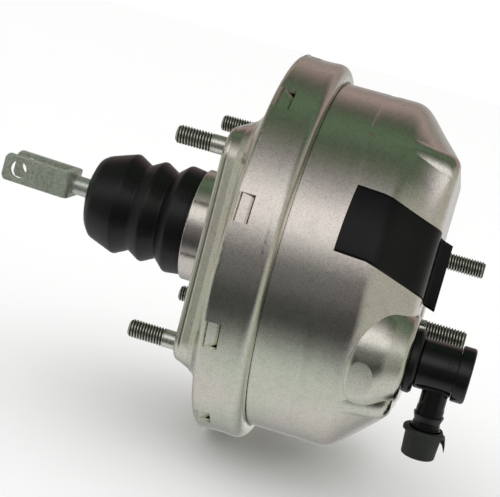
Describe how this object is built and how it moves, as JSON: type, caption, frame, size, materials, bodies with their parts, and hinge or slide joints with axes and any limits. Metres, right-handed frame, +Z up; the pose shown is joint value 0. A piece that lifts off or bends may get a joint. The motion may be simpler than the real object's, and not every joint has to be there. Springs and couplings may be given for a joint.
{
  "type": "vacuum brake booster",
  "caption": "Single-diaphragm vacuum brake booster with pressed shells, mounting studs, booted input rod with clevis, and an elbow check valve with a capped nozzle.",
  "frame": {"origin": "centre of the rear mounting face, on the booster's axis", "axes": "+X along the booster's axis towards the brake cylinder, +Z up, so +Y is to the left seen from the driver's seat"},
  "size_m": [0.2273, 0.172, 0.1728],
  "materials": {
    "zinc_plate": "satin zinc plating with a faint green and pink tint",
    "steel": "plain pressed steel",
    "stud_zinc": "bright zinc",
    "spring_steel": "dark spring steel",
    "black_plastic": "gloss moulded",
    "phenolic": "moulded, matte",
    "black_rubber": "satin moulded rubber",
    "grey_rubber": "satin dark grey",
    "rod_zinc": "zinc plated",
    "clevis_zinc": "grey green zinc plating",
    "felt": "felt",
    "foam": "open foam",
    "aluminium": "machined"
  },
  "bodies": {
    "housing": {"rear_shell": "zinc_plate", "front_shell": "zinc_plate", "rear_reinforcement_plate": "steel", "front_reinforcement_plate": "steel", "rear_studs": "stud_zinc", "front_studs": "stud_zinc", "rear_seal": "black_rubber", "guide_bushing": "black_plastic", "seal_retainer": "steel", "front_seal": "black_rubber", "valve_grommet": "black_rubber", "diaphragm": "black_rubber", "return_spring": "spring_steel", "boot": "black_rubber"},
    "power_piston": {"valve_body": "phenolic", "diaphragm_plate": "steel", "reaction_disc": "black_rubber", "output_pushrod": "rod_zinc", "adjuster_screw": "stud_zinc", "stop_key": "steel", "poppet_valve": "black_rubber", "poppet_retainer": "steel", "poppet_spring": "spring_steel", "air_filter": "felt", "silencer": "foam", "input_return_spring": "spring_steel"},
    "plunger": {"valve_plunger": "aluminium"},
    "input_rod": {"input_pushrod": "rod_zinc", "clevis": "clevis_zinc"},
    "vacuum_elbow": {"check_valve_body": "black_plastic", "check_valve_end": "black_plastic", "check_spring": "spring_steel"},
    "non_return_disc": {"check_disc": "black_rubber"},
    "cap": {"nozzle_cap": "grey_rubber"}
  },
  "joints": [
    {"name": "piston_stroke", "type": "slide", "parent": "housing", "child": "power_piston", "axis": [1, 0, 0], "range_m": [0, 0.028], "stiffness_N_per_m": 4000, "deforming": ["return_spring", "boot", "diaphragm"]},
    {"name": "valve_travel", "type": "slide", "parent": "power_piston", "child": "plunger", "axis": [1, 0, 0], "range_m": [0, 0.0015], "stiffness_N_per_m": 3000, "deforming": ["input_return_spring"]},
    {"name": "rod_swing", "type": "hinge", "parent": "plunger", "child": "input_rod", "pos_m": [-0.006, 0, 0], "axis": [0, 1, 0], "range_deg": [-4.8, 1.2]},
    {"name": "elbow_turn", "type": "hinge", "parent": "housing", "child": "vacuum_elbow", "pos_m": [0.1, -0.0505, -0.0198], "axis": [1, 0, 0], "range_deg": [-90, 60]},
    {"name": "disc_lift", "type": "slide", "parent": "vacuum_elbow", "child": "non_return_disc", "axis": [1, 0, 0], "range_m": [0, 0.002], "stiffness_N_per_m": 200, "deforming": ["check_spring"]},
    {"name": "cap_pull", "type": "slide", "parent": "vacuum_elbow", "child": "cap", "axis": [0, 0, -1], "range_m": [0, 0.03]}
  ]
}
